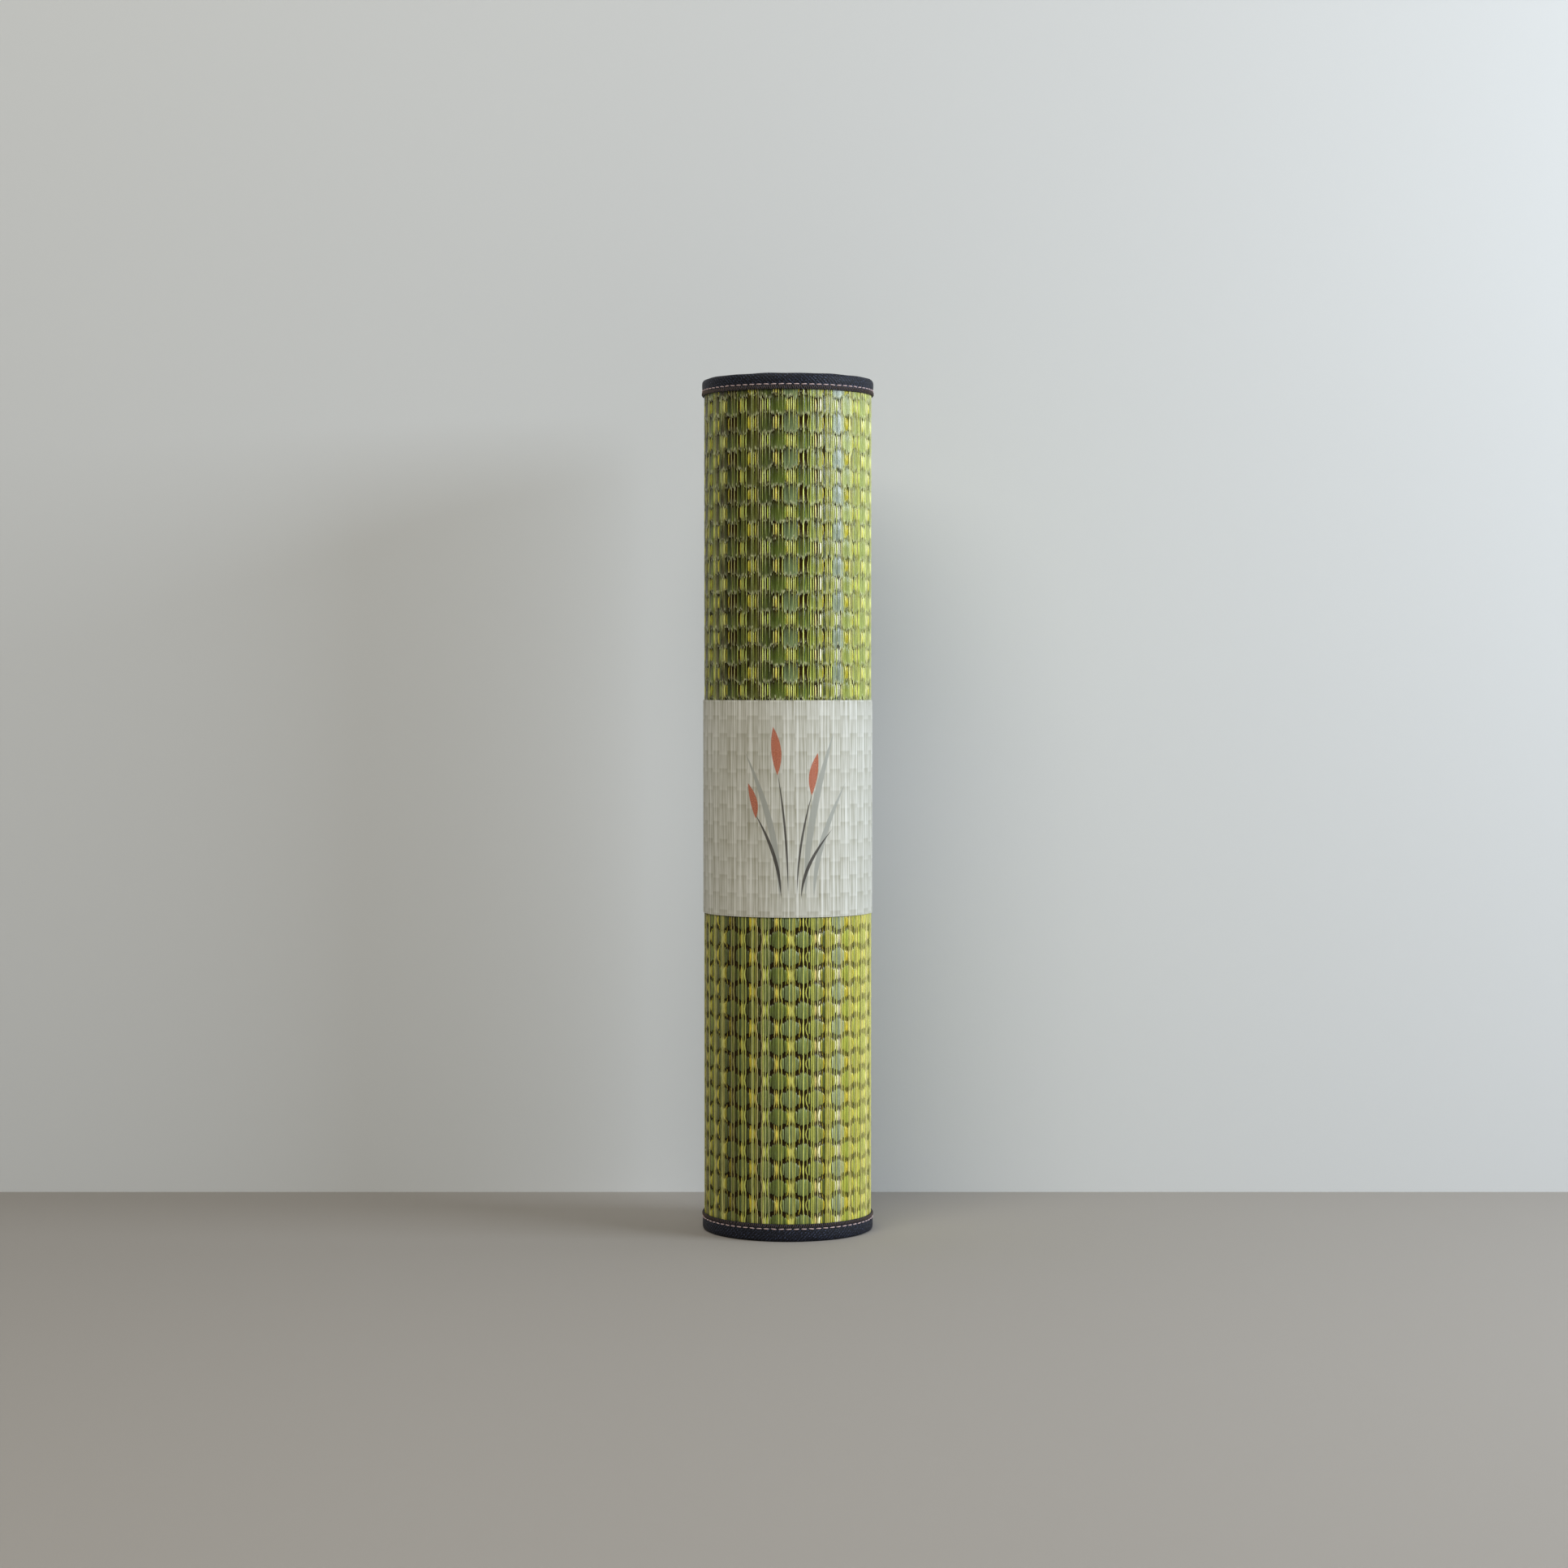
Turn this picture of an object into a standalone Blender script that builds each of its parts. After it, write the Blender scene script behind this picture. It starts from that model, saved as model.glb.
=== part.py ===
"""Rolled rush exercise mat, standing on end and held by a paper band.

The mat is a laminate (woven rush face, foam core, grip backing) bound on all four
edges with folded fabric tape, wound into a spiral with the rush outwards. The origin
is on the roll's axis at floor level, +Z runs up the roll and -Y is its front. The
loose end of the mat lies at the back, on +Y.
"""

import math

import bmesh
import bpy
from mathutils import Vector
from mathutils.geometry import convex_hull_2d

# Mat, as it lies flat (metres)
MAT_LENGTH = 1.800
MAT_WIDTH = 0.600
RUSH_THICKNESS = 0.0018
CORE_THICKNESS = 0.0020
BACKING_THICKNESS = 0.0006
LAYER_GAP = 0.0003

# Fabric binding, folded over each edge
BINDING_THICKNESS = 0.0008
BINDING_WIDTH = 0.012
FOLD_ROUNDING = 0.0016
FOLD_STEPS = 3
PINCH_LENGTH = 0.0075

# Roll
EYE_RADIUS = 0.0197
TURN_GAP = 0.0005
EASE_LENGTH = 0.038
FACETS_PER_TURN = 20
LEAST_FACET = 0.0015
SAME_PLACE = 0.000001
SMOOTH_ANGLE = math.radians(32)

# Paper band and the double-sided tape that closes its lap
BAND_HEIGHT = 0.150
BAND_THICKNESS = 0.0002
TAPE_THICKNESS = 0.0002
TAPE_SIDE_MARGIN = 0.002
TAPE_END_MARGIN = 0.006
LAP_DIRECTION = math.radians(120)

# Depths, measured inwards from the outer face of the rush
PINCHED_DEPTH = RUSH_THICKNESS + LAYER_GAP
FLAT_DEPTH = PINCHED_DEPTH + CORE_THICKNESS + LAYER_GAP
MAT_THICKNESS = FLAT_DEPTH + BACKING_THICKNESS
BINDING_OUTER = -LAYER_GAP - BINDING_THICKNESS
BINDING_INNER = PINCHED_DEPTH + BACKING_THICKNESS + LAYER_GAP + BINDING_THICKNESS
MIDDLE_DEPTH = MAT_THICKNESS / 2

# Insets, measured from the bound edges
FOLD_INSIDE = 2 * BINDING_THICKNESS
LAYER_INSET = FOLD_INSIDE + LAYER_GAP
PINCH_END = BINDING_WIDTH + PINCH_LENGTH
PINCH_ANGLE = math.atan2(FLAT_DEPTH - PINCHED_DEPTH, PINCH_LENGTH)
CORE_INSET = BINDING_WIDTH + LAYER_GAP / math.sin(PINCH_ANGLE)
CORE_SKIVE = CORE_THICKNESS / math.tan(PINCH_ANGLE)

# Spiral
PITCH = max(MAT_THICKNESS, BINDING_INNER - BINDING_OUTER) + TURN_GAP
OUTER_RADIUS = math.sqrt(EYE_RADIUS**2 + MAT_LENGTH * PITCH / math.pi)
TURNS = (OUTER_RADIUS - EYE_RADIUS) / PITCH
EYE_EASE = BINDING_THICKNESS + 2 * LAYER_GAP

BAND_CENTRE = MAT_WIDTH / 2
LAP_RISE = BAND_THICKNESS + TAPE_THICKNESS + 2 * LAYER_GAP


def clear_scene():
    for item in list(bpy.data.objects):
        bpy.data.objects.remove(item, do_unlink=True)


def linear(channel):
    """One sRGB channel, 0 to 255, as a linear value."""
    value = channel / 255
    return value / 12.92 if value <= 0.04045 else ((value + 0.055) / 1.055) ** 2.4


def material(name, red, green, blue, roughness):
    made = bpy.data.materials.new(name)
    made.use_nodes = True
    shader = made.node_tree.nodes["Principled BSDF"]
    shader.inputs["Base Color"].default_value = (linear(red), linear(green), linear(blue), 1)
    shader.inputs["Roughness"].default_value = roughness
    shader.inputs["Metallic"].default_value = 0
    return made


def angle_at(length):
    """Winding angle at a length along the mat, measured from its outer end."""
    left = EYE_RADIUS**2 + (MAT_LENGTH - length) * PITCH / math.pi
    return 2 * math.pi * (OUTER_RADIUS - math.sqrt(left)) / PITCH


def length_at(angle):
    middle = OUTER_RADIUS - PITCH * angle / (2 * math.pi)
    return (OUTER_RADIUS**2 - middle**2) * math.pi / PITCH


def face_radius(length):
    """Radius of the rush's outer face; the inner end eases in to make room for its binding."""
    spiral = OUTER_RADIUS + MIDDLE_DEPTH - PITCH * angle_at(length) / (2 * math.pi)
    to_end = MAT_LENGTH - BINDING_WIDTH - length
    eased = min(max(1 - to_end / EASE_LENGTH, 0), 1)
    return spiral - EYE_EASE * eased


def place(length, depth, height):
    turned = math.pi / 2 + angle_at(length)
    radius = face_radius(length) - depth
    return Vector((radius * math.cos(turned), radius * math.sin(turned), height))


def make_stations():
    """Lengths at which every layer has a corner, so that neighbouring turns share facets."""
    insets = (0, LAYER_INSET, BINDING_WIDTH, PINCH_END)
    stations = list(insets) + [MAT_LENGTH - inset for inset in insets]
    facet = 2 * math.pi / FACETS_PER_TURN
    for index in range(1, math.ceil(TURNS * FACETS_PER_TURN)):
        length = length_at(index * facet)
        if min(abs(length - taken) for taken in stations) > LEAST_FACET:
            stations.append(length)
    return sorted(stations)


STATIONS = make_stations()


def stations_between(start, stop):
    inside = [at for at in STATIONS if start + SAME_PLACE < at < stop - SAME_PLACE]
    return [start] + inside + [stop]


def sweep(name, rings, look, parent):
    """A solid whose section moves through the given rings of corner points."""
    mesh_maker = bmesh.new()
    start = mesh_maker.faces.new([mesh_maker.verts.new(point) for point in rings[0]])
    leading = start
    for ring in rings[1:]:
        grown = bmesh.ops.extrude_face_region(mesh_maker, geom=[leading])["geom"]
        if leading is not start:
            mesh_maker.faces.remove(leading)
        leading = next(item for item in grown if isinstance(item, bmesh.types.BMFace))
        for corner, point in zip(leading.verts, ring):
            corner.co = point
    bmesh.ops.recalc_face_normals(mesh_maker, faces=mesh_maker.faces)
    mesh = bpy.data.meshes.new(name)
    mesh_maker.to_mesh(mesh)
    mesh_maker.free()
    mesh.materials.append(look)
    mesh.shade_smooth()
    mesh.set_sharp_from_angle(angle=SMOOTH_ANGLE)
    piece = bpy.data.objects.new(name, mesh)
    piece.parent = parent
    bpy.context.scene.collection.objects.link(piece)
    return piece


def wind(name, section, start, stop, look, parent):
    """Sweeps a section along the spiral; section(length) gives (depth, height) corners."""
    rings = []
    for length in stations_between(start, stop):
        rings.append([place(length, depth, height) for depth, height in section(length)])
    return sweep(name, rings, look, parent)


def axis_empty(name, height):
    made = bpy.data.objects.new(name, None)
    made.location = (0, 0, height)
    bpy.context.scene.collection.objects.link(made)
    return made


def rush_section(length):
    low, high = LAYER_INSET, MAT_WIDTH - LAYER_INSET
    return [(0, low), (0, high), (RUSH_THICKNESS, high), (RUSH_THICKNESS, low)]


def core_section(length):
    """Foam with skived long edges, tucked between the rush and the backing's pinch."""
    low, high = CORE_INSET, MAT_WIDTH - CORE_INSET
    inner = PINCHED_DEPTH + CORE_THICKNESS
    return [
        (PINCHED_DEPTH, low),
        (PINCHED_DEPTH, high),
        (inner, high - CORE_SKIVE),
        (inner, low + CORE_SKIVE),
    ]


def backing_section(length):
    """Backing that closes up to the rush at the bound edges and at both ends."""
    to_end = min(length, MAT_LENGTH - length)
    opened = min(max((to_end - BINDING_WIDTH) / PINCH_LENGTH, 0), 1)
    middle = PINCHED_DEPTH + opened * (FLAT_DEPTH - PINCHED_DEPTH)
    lower = [(PINCHED_DEPTH, LAYER_INSET), (PINCHED_DEPTH, BINDING_WIDTH), (middle, PINCH_END)]
    upper = [(depth, MAT_WIDTH - inset) for depth, inset in reversed(lower)]
    facing_core = lower + upper
    facing_in = [(depth + BACKING_THICKNESS, height) for depth, height in reversed(facing_core)]
    return facing_core + facing_in


def rounded_fold():
    """Outside of the fold as (depth, inset) corners, from the outer leg round to the inner one."""
    turns_round = [math.pi / 2 * step / FOLD_STEPS for step in range(FOLD_STEPS + 1)]
    outer = []
    for turn in turns_round:
        depth = BINDING_OUTER + FOLD_ROUNDING * (1 - math.cos(turn))
        outer.append((depth, FOLD_ROUNDING * (1 - math.sin(turn))))
    inner = [(BINDING_OUTER + BINDING_INNER - depth, inset) for depth, inset in reversed(outer)]
    return outer + inner


def folded_tape(leg):
    """U profile as (depth, inset) corners; leg lists the insets along each side, tip last."""
    outer_inside = BINDING_OUTER + BINDING_THICKNESS
    inner_inside = BINDING_INNER - BINDING_THICKNESS
    profile = [(BINDING_OUTER, inset) for inset in reversed(leg)]
    profile += rounded_fold()
    profile += [(BINDING_INNER, inset) for inset in leg]
    profile += [(inner_inside, inset) for inset in reversed(leg)]
    profile += [(inner_inside, FOLD_INSIDE), (outer_inside, FOLD_INSIDE)]
    profile += [(outer_inside, inset) for inset in leg]
    return profile


def bottom_binding_section(length):
    return folded_tape([BINDING_WIDTH])


def top_binding_section(length):
    return [(depth, MAT_WIDTH - inset) for depth, inset in folded_tape([BINDING_WIDTH])]


def bends_of(insets):
    """Insets at which an end binding's sides bend with the roll's facets, tip last."""
    low, high = LAYER_INSET + SAME_PLACE, BINDING_WIDTH - SAME_PLACE
    return sorted(inset for inset in insets if low < inset < high) + [BINDING_WIDTH]


def outer_end_corners():
    """Plan of the binding on the loose end."""
    profile = folded_tape(bends_of(STATIONS))
    return [place(inset, depth, 0) for depth, inset in profile]


def inner_end_corners():
    """Plan of the binding on the end in the roll's eye."""
    profile = folded_tape(bends_of(MAT_LENGTH - length for length in STATIONS))
    return [place(MAT_LENGTH - inset, depth, 0) for depth, inset in profile]


def end_binding(name, corners, look, parent):
    """A straight strip up the roll, between the two edge bindings."""
    low = Vector((0, 0, BINDING_WIDTH + LAYER_GAP))
    high = Vector((0, 0, MAT_WIDTH - BINDING_WIDTH - LAYER_GAP))
    rings = [[corner + low for corner in corners], [corner + high for corner in corners]]
    return sweep(name, rings, look, parent)


def band_path(end_corners):
    """The band's inner face in plan: paper pulled tight takes the roll's convex outline."""
    first_turn = [length for length in STATIONS if angle_at(length) <= 2 * math.pi]
    outline = [place(length, 0, 0).xy for length in first_turn]
    outline += [corner.xy for corner in end_corners]
    hull = [outline[index] for index in convex_hull_2d(outline)]
    path = [point * (1 + LAYER_GAP / point.length) for point in hull]

    def turn_from_lap(point):
        return (math.atan2(point.y, point.x) - LAP_DIRECTION) % (2 * math.pi)

    return sorted(path, key=turn_from_lap)


def upright_strip(path, rises, thickness, height):
    """Rings of an upright strip along a plan path, each point moved out by its rise."""
    rings = []
    for point, rise in zip(path, rises):
        outwards = point.normalized()
        inner = point + outwards * rise
        outer = inner + outwards * thickness
        ring = [inner.to_3d(), inner.to_3d(), outer.to_3d(), outer.to_3d()]
        for corner, level in zip(ring, (-0.5, 0.5, 0.5, -0.5)):
            corner.z = level * height
        rings.append(ring)
    return rings


def wrap_band(path, look, parent):
    """One turn of paper whose last facet laps over its first."""
    rises = [0] * len(path) + [LAP_RISE] * 2
    rings = upright_strip(path + path[:2], rises, BAND_THICKNESS, BAND_HEIGHT)
    return sweep("wrap_band", rings, look, parent)


def band_tape(path, look, parent):
    first, last = path[:2]
    along = (last - first).normalized() * TAPE_SIDE_MARGIN
    rises = [BAND_THICKNESS + LAYER_GAP] * 2
    height = BAND_HEIGHT - 2 * TAPE_END_MARGIN
    rings = upright_strip([first + along, last - along], rises, TAPE_THICKNESS, height)
    return sweep("band_tape", rings, look, parent)


def least_turn_gap():
    """Smallest distance between one turn's backing and the rush of the turn inside it."""
    gaps = []
    for length in stations_between(PINCH_END, length_at((TURNS - 1) * 2 * math.pi)):
        inside = length_at(angle_at(length) + 2 * math.pi)
        outer_point = place(length, MAT_THICKNESS, 0)
        gaps.append((outer_point - place(inside, 0, 0)).length)
    return min(gaps)


def main():
    clear_scene()
    roll = axis_empty("roll_axis", 0)
    band = axis_empty("band_slide_axis", BAND_CENTRE)

    rush = material("woven_rush", 122, 132, 60, 0.45)
    foam = material("cushion_foam", 226, 218, 196, 0.9)
    grip = material("grip_backing", 88, 90, 84, 0.85)
    denim = material("navy_denim", 38, 40, 58, 0.85)
    paper = material("band_paper", 226, 224, 216, 0.6)
    adhesive = material("clear_tape", 224, 220, 200, 0.3)

    layer_stop = MAT_LENGTH - LAYER_INSET
    core_start = PINCH_END + LAYER_GAP
    wind("rush_face", rush_section, LAYER_INSET, layer_stop, rush, roll)
    wind("cushion_core", core_section, core_start, MAT_LENGTH - core_start, foam, roll)
    wind("grip_backing", backing_section, LAYER_INSET, layer_stop, grip, roll)
    wind("top_edge_binding", top_binding_section, 0, MAT_LENGTH, denim, roll)
    wind("bottom_edge_binding", bottom_binding_section, 0, MAT_LENGTH, denim, roll)

    end_binding("outer_end_binding", outer_end_corners(), denim, roll)
    end_binding("inner_end_binding", inner_end_corners(), denim, roll)

    path = band_path(outer_end_corners())
    wrap_band(path, paper, band)
    band_tape(path, adhesive, band)

    across = 2 * (OUTER_RADIUS + MIDDLE_DEPTH) - PITCH
    print(f"{TURNS:.2f} turns, {across * 1000:.1f} mm across, {PITCH * 1000:.2f} mm a turn")
    print(f"least gap between turns {least_turn_gap() * 1000:.2f} mm")


main()
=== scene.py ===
# %% [markdown]
# # A rolled rush mat
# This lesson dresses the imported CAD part: a woven rush floor mat, bound with denim, rolled up and
# held by a paper band. The CAD model is loaded as a fixed frame. Every new piece is made in the same
# frame, in metres, and rides on one of its two bodies: the roll or the band.

# %% Load the frame
import math

import bmesh
import bpy
import numpy as np
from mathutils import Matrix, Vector
from mathutils.geometry import convex_hull_2d


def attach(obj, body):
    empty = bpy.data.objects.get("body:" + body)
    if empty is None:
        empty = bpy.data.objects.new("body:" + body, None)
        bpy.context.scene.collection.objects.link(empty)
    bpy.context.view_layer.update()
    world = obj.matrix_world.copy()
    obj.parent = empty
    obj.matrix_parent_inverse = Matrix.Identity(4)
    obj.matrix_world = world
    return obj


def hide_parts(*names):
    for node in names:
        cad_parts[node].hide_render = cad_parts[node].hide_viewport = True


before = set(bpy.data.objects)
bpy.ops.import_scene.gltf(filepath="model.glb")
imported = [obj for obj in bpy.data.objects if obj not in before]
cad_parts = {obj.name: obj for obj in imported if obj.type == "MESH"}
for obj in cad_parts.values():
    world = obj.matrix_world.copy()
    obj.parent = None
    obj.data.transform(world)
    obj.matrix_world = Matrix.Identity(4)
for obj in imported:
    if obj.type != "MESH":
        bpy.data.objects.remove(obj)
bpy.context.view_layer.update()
scene = bpy.context.scene

# %% [markdown]
# ## Sizes
# The mat is 1.8 m long and 0.6 m wide, and its layers add up to 5 mm. Wound at 5.5 mm a turn around
# the eye, it makes a little over seven turns. The roll is a spiral, so everything on the mat is
# placed by three numbers: the length along the mat from its loose end, the depth below the outer
# face of the rush, and the height above the floor.

# %% Sizes and the winding
MM = 0.001
MAT_LENGTH = 1.8
MAT_WIDTH = 0.6
RUSH_THICKNESS = 1.8 * MM
CORE_THICKNESS = 2.0 * MM
BACKING_THICKNESS = 0.6 * MM
LAYER_GAP = 0.3 * MM
BINDING_THICKNESS = 0.8 * MM
BINDING_WIDTH = 12 * MM
PINCH_LENGTH = 7.5 * MM
EYE_RADIUS = 19.7 * MM
PITCH = 5.5 * MM
EASE_LENGTH = 38 * MM
EYE_EASE = BINDING_THICKNESS + 2 * LAYER_GAP
PINCHED_DEPTH = RUSH_THICKNESS + LAYER_GAP
FLAT_DEPTH = PINCHED_DEPTH + CORE_THICKNESS + LAYER_GAP
MIDDLE_DEPTH = (FLAT_DEPTH + BACKING_THICKNESS) / 2
LAYER_INSET = 1.9 * MM
OUTER_RADIUS = math.sqrt(EYE_RADIUS**2 + MAT_LENGTH * PITCH / math.pi)


def angle_at(length):
    """Winding angle at a length along the mat, for one number or an array."""
    left = EYE_RADIUS**2 + (MAT_LENGTH - np.asarray(length, float)) * PITCH / math.pi
    return 2 * math.pi * (OUTER_RADIUS - np.sqrt(left)) / PITCH


def length_at(angle):
    middle = OUTER_RADIUS - PITCH * angle / (2 * math.pi)
    return (OUTER_RADIUS**2 - middle**2) * math.pi / PITCH


def place(length, depth, height):
    """Points of the roll, from lengths along the mat, depths below the rush face and heights."""
    length, depth, height = np.broadcast_arrays(length, depth, height)
    turned = math.pi / 2 + angle_at(length)
    spiral = OUTER_RADIUS + MIDDLE_DEPTH - PITCH * angle_at(length) / (2 * math.pi)
    eased = np.clip(1 - (MAT_LENGTH - BINDING_WIDTH - length) / EASE_LENGTH, 0, 1)
    radius = spiral - EYE_EASE * eased - depth
    return np.stack([radius * np.cos(turned), radius * np.sin(turned), height], axis=-1)


ONE_TURN = float(length_at(2 * math.pi))
print(f"outer turn {ONE_TURN * 1000:.0f} mm, {angle_at(MAT_LENGTH) / 2 / math.pi:.2f} turns")

# %% [markdown]
# ## Helpers for meshes
# Cloth and paper are thin profiles drawn along a path. One face is extruded from station to station,
# and every corner keeps how far along the strip and how far round the profile it lies. The materials
# read those two values, so a weave follows the cloth around every bend. Rush, yarn and thread are
# round, so they are curves with a bevel, turned into meshes. A dried stem is pressed flat by the
# weave, so its thickness can be made a share of its width.

# %% Strips and threads
SIDES = 6
THREAD_SHARP = 65


def keep(mesh, body, slot, *replaced):
    """A finished piece at the origin, which rides on a body of the frame."""
    piece = bpy.data.objects.new(mesh.name, mesh)
    scene.collection.objects.link(piece)
    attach(piece, body)
    if replaced:
        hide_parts(*replaced)
    print(f"{mesh.name}: {sum(len(face.vertices) - 2 for face in mesh.polygons)} triangles")
    return piece


def strip(name, rings, along, around, look, sharp=40):
    """A closed strip through rings of corners, with its cloth coordinates as attributes."""
    maker = bmesh.new()
    along_layer = maker.verts.layers.float.new("along")
    around_layer = maker.verts.layers.float.new("around")

    def settle(face, ring, far):
        for corner, point, round_it in zip(face.verts, ring, around):
            corner.co = point
            corner[along_layer] = far
            corner[around_layer] = round_it

    start = maker.faces.new([maker.verts.new(point) for point in rings[0]])
    settle(start, rings[0], along[0])
    leading = start
    for ring, far in zip(rings[1:], along[1:]):
        grown = bmesh.ops.extrude_face_region(maker, geom=[leading])["geom"]
        if leading is not start:
            maker.faces.remove(leading)
        leading = next(item for item in grown if isinstance(item, bmesh.types.BMFace))
        settle(leading, ring, far)
    bmesh.ops.recalc_face_normals(maker, faces=maker.faces)
    mesh = bpy.data.meshes.new(name)
    maker.to_mesh(mesh)
    maker.free()
    mesh.materials.append(look)
    mesh.shade_smooth()
    mesh.set_sharp_from_angle(angle=math.radians(sharp))
    return mesh


def perimeter(section):
    """Distance round a profile at each of its corners, from the first."""
    steps = np.linalg.norm(np.diff(np.asarray(section), axis=0), axis=1)
    return np.concatenate([[0], np.cumsum(steps)])


def threads(name, paths, half_widths, look, flatness=1.0):
    """Threads along paths, with a half-width at every point, closed at both ends."""
    curve = bpy.data.curves.new(name, "CURVE")
    curve.dimensions = "3D"
    curve.bevel_depth = 1
    curve.bevel_resolution = 1
    for path, half_width in zip(paths, half_widths):
        spline = curve.splines.new("POLY")
        spline.points.add(len(path) - 1)
        spline.points.foreach_set("co", np.column_stack([path, np.ones(len(path))]).ravel())
        spline.points.foreach_set("radius", half_width)
    holder = bpy.data.objects.new(name, curve)
    scene.collection.objects.link(holder)
    graph = bpy.context.evaluated_depsgraph_get()
    mesh = bpy.data.meshes.new_from_object(holder.evaluated_get(graph))
    mesh.name = name
    bpy.data.objects.remove(holder)
    bpy.data.curves.remove(curve)
    press(mesh, np.concatenate(paths).repeat(SIDES, axis=0), flatness)
    maker = bmesh.new()
    maker.from_mesh(mesh)
    open_ends = [edge for edge in maker.edges if edge.is_boundary]
    bmesh.ops.holes_fill(maker, edges=open_ends, sides=0)
    bmesh.ops.recalc_face_normals(maker, faces=maker.faces)
    maker.to_mesh(mesh)
    maker.free()
    mesh.materials.clear()
    mesh.materials.append(look)
    mesh.shade_smooth()
    mesh.set_sharp_from_angle(angle=math.radians(THREAD_SHARP))
    return mesh


def press(mesh, centres, flatness):
    """Presses threads flat towards the roll's axis, to a share of their thickness."""
    points = np.empty(len(mesh.vertices) * 3, np.float32)
    mesh.vertices.foreach_get("co", points)
    points = points.reshape(-1, 3).astype(float)
    outwards = centres * (1, 1, 0)
    outwards /= np.linalg.norm(outwards, axis=1)[:, None]
    thickness = ((points - centres) * outwards).sum(axis=1)
    points -= (1 - flatness) * thickness[:, None] * outwards
    mesh.vertices.foreach_set("co", points.astype(np.float32).ravel())


# %% [markdown]
# ## Materials
# A colour is written as an sRGB hex value and turned to linear once. One function adds a node with
# its settings and links. Patterns take their scale from real sizes.

# %% Material helpers


def linear(code):
    """A hex colour such as 9aa05a as linear red, green, blue and alpha."""
    channels = [int(code[at:at + 2], 16) / 255 for at in (0, 2, 4)]
    bent = [c / 12.92 if c <= 0.04045 else ((c + 0.055) / 1.055) ** 2.4 for c in channels]
    return (*bent, 1)


def add(look, kind, sockets=None, **settings):
    """Adds a node; a socket gets a value, or a link where the value is another node's output."""
    made = look.node_tree.nodes.new(kind)
    for name, value in settings.items():
        setattr(made, name, value)
    for name, value in (sockets or {}).items():
        if isinstance(value, bpy.types.NodeSocket):
            look.node_tree.links.new(value, made.inputs[name])
        else:
            made.inputs[name].default_value = value
    return made


def start_look(name, roughness, **constants):
    """A material and its Principled shader, whose constant sockets are set directly."""
    look = bpy.data.materials.new(name)
    look.use_nodes = True
    shader = look.node_tree.nodes["Principled BSDF"]
    shader.inputs["Roughness"].default_value = roughness
    for socket, value in constants.items():
        shader.inputs[socket.replace("_", " ")].default_value = value
    return look, shader


def join(look, output, taker, socket):
    look.node_tree.links.new(output, taker.inputs[socket])


def cloth_place(look):
    """The cloth coordinates of a strip: along it, and round its profile."""
    along = add(look, "ShaderNodeAttribute", attribute_name="along").outputs["Fac"]
    around = add(look, "ShaderNodeAttribute", attribute_name="around").outputs["Fac"]
    flat = add(look, "ShaderNodeCombineXYZ", {"X": along, "Y": around}).outputs["Vector"]
    return along, around, flat


# %% [markdown]
# ### Rush
# Rush is a dried marsh grass: a stem with a waxy skin, so it shines softly, and its colour runs from
# leaf green to straw, stem by stem. Each stem's colour is kept on the mesh, with its painted shade and
# painted highlights. Noise stretched along the stem adds the streaks of drying. The pale stems are the
# rounder and smoother ones. Where painted shade makes the colour dark, deep between its neighbours, the
# gloss falls off too, as painted shade of its reflections.

# %% Rush materials
STREAK_WIDTH = 0.5 * MM
STREAK_LENGTH = 9 * MM
GROUND_PATCH = 4 * MM


def rush_material(name, smooth, dull):
    look, shader = start_look(name, smooth)
    tint = add(look, "ShaderNodeAttribute", attribute_name="stem_colour")
    spot = add(look, "ShaderNodeTexCoord")
    drawn_out = add(
        look,
        "ShaderNodeMapping",
        {
            "Vector": spot.outputs["Object"],
            "Scale": (1 / STREAK_WIDTH, 1 / STREAK_WIDTH, 1 / STREAK_LENGTH),
        },
    )
    streaks = add(
        look,
        "ShaderNodeTexNoise",
        {"Vector": drawn_out.outputs["Vector"], "Scale": 1, "Detail": 3, "Roughness": 0.6},
    )
    strength = add(
        look,
        "ShaderNodeMapRange",
        {
            "Value": streaks.outputs["Fac"],
            "From Min": 0.25,
            "From Max": 0.75,
            "To Min": 0.55,
            "To Max": 1.45,
        },
    )
    colour = add(
        look,
        "ShaderNodeVectorMath",
        {0: tint.outputs["Color"], "Scale": strength.outputs["Result"]},
        operation="SCALE",
    )
    join(look, colour.outputs["Vector"], shader, "Base Color")
    sheen = add(
        look,
        "ShaderNodeMapRange",
        {"Value": streaks.outputs["Fac"], "To Min": smooth, "To Max": dull},
    )
    join(look, sheen.outputs["Result"], shader, "Roughness")
    # Less gloss where the colour is dark with painted shade: painted shade of the reflections
    lightness = add(look, "ShaderNodeRGBToBW", {"Color": tint.outputs["Color"]})
    gloss = add(
        look,
        "ShaderNodeMapRange",
        {
            "Value": lightness.outputs["Val"],
            "From Min": 0.015,
            "From Max": 0.05,
            "To Min": 0.08,
            "To Max": 0.5,
        },
    )
    join(look, gloss.outputs["Result"], shader, "Specular IOR Level")
    bump = add(
        look,
        "ShaderNodeBump",
        {"Height": streaks.outputs["Fac"], "Strength": 0.12, "Distance": 0.15 * MM},
    )
    join(look, bump.outputs["Normal"], shader, "Normal")
    return look


green_look = rush_material("green_rush", 0.15, 0.38)
pale_look = rush_material("pale_rush", 0.14, 0.32)

ground_look, ground_shader = start_look("rush_ground_in_shade", 0.8)
ground_place = add(ground_look, "ShaderNodeTexCoord")
ground_noise = add(
    ground_look,
    "ShaderNodeTexNoise",
    {"Vector": ground_place.outputs["Object"], "Scale": 1 / GROUND_PATCH, "Detail": 2},
)
ground_mix = add(
    ground_look,
    "ShaderNodeMix",
    {"Factor": ground_noise.outputs["Fac"], 6: linear("2a1f08"), 7: linear("4a3a12")},
    data_type="RGBA",
)
join(ground_look, ground_mix.outputs[2], ground_shader, "Base Color")
print("rush materials ready")
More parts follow.
